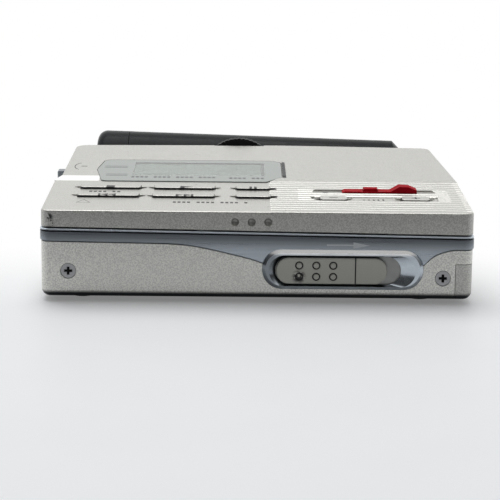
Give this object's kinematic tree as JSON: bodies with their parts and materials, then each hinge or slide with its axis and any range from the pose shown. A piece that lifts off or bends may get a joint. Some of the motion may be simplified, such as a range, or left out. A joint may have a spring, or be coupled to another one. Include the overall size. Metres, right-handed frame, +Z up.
{
  "type": "portable minidisc recorder",
  "caption": "Pocket minidisc recorder with a hinged lid, keys and display on the lid, a lifting disc holder, a sliding opener in front and an external battery case behind.",
  "frame": {"origin": "under the middle of the whole recorder with its battery case, on the plane that the rubber feet stand on", "axes": "+X to the right along the front, +Y towards the rear, +Z up"},
  "size_m": [0.0808, 0.0924, 0.0183],
  "materials": {
    "silver_paint": "fine metallic silver paint",
    "bright_band": "satin blue-grey metallic",
    "chrome": "bright plated",
    "grey_plastic": "satin moulded",
    "dark_gloss": "glossy dark grey",
    "black_plastic": "matte",
    "red_plastic": "glossy red",
    "clear_window": "clear pale cyan",
    "lcd_glass": "display cell",
    "lens_glass": "coated lens",
    "black_rubber": "matte rubber",
    "steel": "bright steel",
    "brass": "brass",
    "board_green": "solder mask",
    "cell_wrap": "cell sleeve"
  },
  "bodies": {
    "base": {"lower_case": "silver_paint", "mid_frame": "bright_band", "open_bezel": "chrome", "latch_spring": "steel", "rubber_feet": "black_rubber", "case_screws": "steel", "hinge_pins": "steel", "main_board": "board_green", "board_chips": "black_plastic", "chassis_plate": "steel", "chassis_dampers": "black_rubber", "guide_rods": "steel", "spindle_motor": "steel", "sled_motor": "steel", "battery_tray": "grey_plastic", "flat_cell": "cell_wrap", "cell_contacts": "brass", "rear_insert": "brass", "terminal_pads": "brass", "battery_door_pin": "steel", "headphone_jack": "black_plastic", "power_jack": "black_plastic", "input_jacks": "black_plastic", "aa_case_body": "dark_gloss", "aa_cell": "cell_wrap", "aa_contacts": "steel", "case_bracket": "black_plastic"},
    "lid": {"lid_cover": "silver_paint", "display_window": "clear_window", "window_end_trim": "dark_gloss", "lcd_panel": "lcd_glass", "key_board": "board_green", "key_domes": "grey_plastic", "lid_catch": "steel"},
    "record_slide": {"record_slider": "red_plastic"},
    "record_lock": {"record_lock": "red_plastic"},
    "holder": {"disc_holder": "steel"},
    "sled": {"pickup_sled": "black_plastic", "objective_lens": "lens_glass", "sled_nut": "black_plastic", "arm_bracket": "steel"},
    "head": {"head_arm": "steel", "magnetic_head": "black_plastic"},
    "screw": {"lead_screw": "steel"},
    "pinion": {"drive_pinion": "brass"},
    "turntable": {"turntable": "steel"},
    "opener": {"open_slider": "grey_plastic", "latch_carrier": "steel"},
    "hold": {"hold_switch": "chrome"},
    "cell_door": {"battery_door": "silver_paint"},
    "case_cap": {"aa_case_cap": "dark_gloss"},
    "wheel": {"thumb_wheel": "black_plastic"},
    "back_key": {"back_key": "silver_paint"},
    "forward_key": {"forward_key": "silver_paint"},
    "function_key": {"function_key": "silver_paint"},
    "pause_key": {"pause_key": "silver_paint"},
    "play_key": {"play_key": "silver_paint"},
    "stop_key": {"stop_key": "silver_paint"},
    "volume_down_key": {"volume_down_key": "silver_paint"},
    "volume_up_key": {"volume_up_key": "silver_paint"}
  },
  "joints": [
    {"name": "lid_hinge", "type": "hinge", "parent": "base", "child": "lid", "pos_m": [0.00095, 0.02434, 0.015], "axis": [-1, 0, 0], "range_deg": [0, 22]},
    {"name": "holder_lift", "type": "hinge", "parent": "base", "child": "holder", "pos_m": [0.00095, 0.02434, 0.015], "axis": [-1, 0, 0], "range_deg": [0, 18]},
    {"name": "sled_slide", "type": "slide", "parent": "base", "child": "sled", "axis": [1, 0, 0], "range_m": [0, 0.013]},
    {"name": "head_lift", "type": "hinge", "parent": "sled", "child": "head", "pos_m": [0.01545, 0.02369, 0.0146], "axis": [-1, 0, 0], "range_deg": [0, 19.2]},
    {"name": "lead_screw_turn", "type": "hinge", "parent": "base", "child": "screw", "pos_m": [0.02095, 0.00194, 0.0064], "axis": [1, 0, 0], "range_deg": [0, 3130]},
    {"name": "pinion_turn", "type": "hinge", "parent": "base", "child": "pinion", "pos_m": [0.00095, 0.00459, 0.0064], "axis": [1, 0, 0], "range_deg": [-5012, 0]},
    {"name": "turntable_spin", "type": "hinge", "parent": "base", "child": "turntable", "pos_m": [0.00045, -0.00966, 0.005], "axis": [0, 0, 1], "continuous": true},
    {"name": "back_key_press", "type": "slide", "parent": "lid", "child": "back_key", "axis": [0, 0, -1], "range_m": [0, 0.0003], "stiffness_N_per_m": 300},
    {"name": "forward_key_press", "type": "slide", "parent": "lid", "child": "forward_key", "axis": [0, 0, -1], "range_m": [0, 0.0003], "stiffness_N_per_m": 300},
    {"name": "function_key_press", "type": "slide", "parent": "lid", "child": "function_key", "axis": [0, 0, -1], "range_m": [0, 0.0003], "stiffness_N_per_m": 300},
    {"name": "pause_key_press", "type": "slide", "parent": "lid", "child": "pause_key", "axis": [0, 0, -1], "range_m": [0, 0.0003], "stiffness_N_per_m": 300},
    {"name": "play_key_press", "type": "slide", "parent": "lid", "child": "play_key", "axis": [0, 0, -1], "range_m": [0, 0.0003], "stiffness_N_per_m": 300},
    {"name": "stop_key_press", "type": "slide", "parent": "lid", "child": "stop_key", "axis": [0, 0, -1], "range_m": [0, 0.0003], "stiffness_N_per_m": 300},
    {"name": "volume_down_key_press", "type": "slide", "parent": "lid", "child": "volume_down_key", "axis": [0, 0, -1], "range_m": [0, 0.0003], "stiffness_N_per_m": 300},
    {"name": "volume_up_key_press", "type": "slide", "parent": "lid", "child": "volume_up_key", "axis": [0, 0, -1], "range_m": [0, 0.0003], "stiffness_N_per_m": 300},
    {"name": "record_slide_move", "type": "slide", "parent": "lid", "child": "record_slide", "axis": [1, 0, 0], "range_m": [0, 0.0026]},
    {"name": "record_lock_press", "type": "slide", "parent": "record_slide", "child": "record_lock", "axis": [0, 0, -1], "range_m": [0, 0.0002], "stiffness_N_per_m": 300},
    {"name": "open_slide", "type": "slide", "parent": "base", "child": "opener", "axis": [1, 0, 0], "range_m": [0, 0.0024], "stiffness_N_per_m": 300},
    {"name": "hold_slide", "type": "slide", "parent": "base", "child": "hold", "axis": [0, 1, 0], "range_m": [0, 0.002]},
    {"name": "battery_door_hinge", "type": "hinge", "parent": "base", "child": "cell_door", "pos_m": [0.03955, -0.02386, 0.0044], "axis": [0, 0, 1], "range_deg": [0, 80]},
    {"name": "case_cap_pull", "type": "slide", "parent": "base", "child": "case_cap", "axis": [-0.9999, 0, 0.0136], "range_m": [0, 0.012]},
    {"name": "thumb_wheel_turn", "type": "hinge", "parent": "base", "child": "wheel", "pos_m": [-0.00245, 0.02814, 0.0103], "axis": [0, 1, 0], "continuous": true}
  ],
  "couplings": [
    {"joint": "holder_lift", "follows": "lid_hinge", "ratio": 0.8},
    {"joint": "head_lift", "follows": "lid_hinge", "ratio": 0.86},
    {"joint": "lead_screw_turn", "follows": "sled_slide", "rad_per_m": 4188.8},
    {"joint": "pinion_turn", "follows": "sled_slide", "rad_per_m": -6702.1}
  ]
}
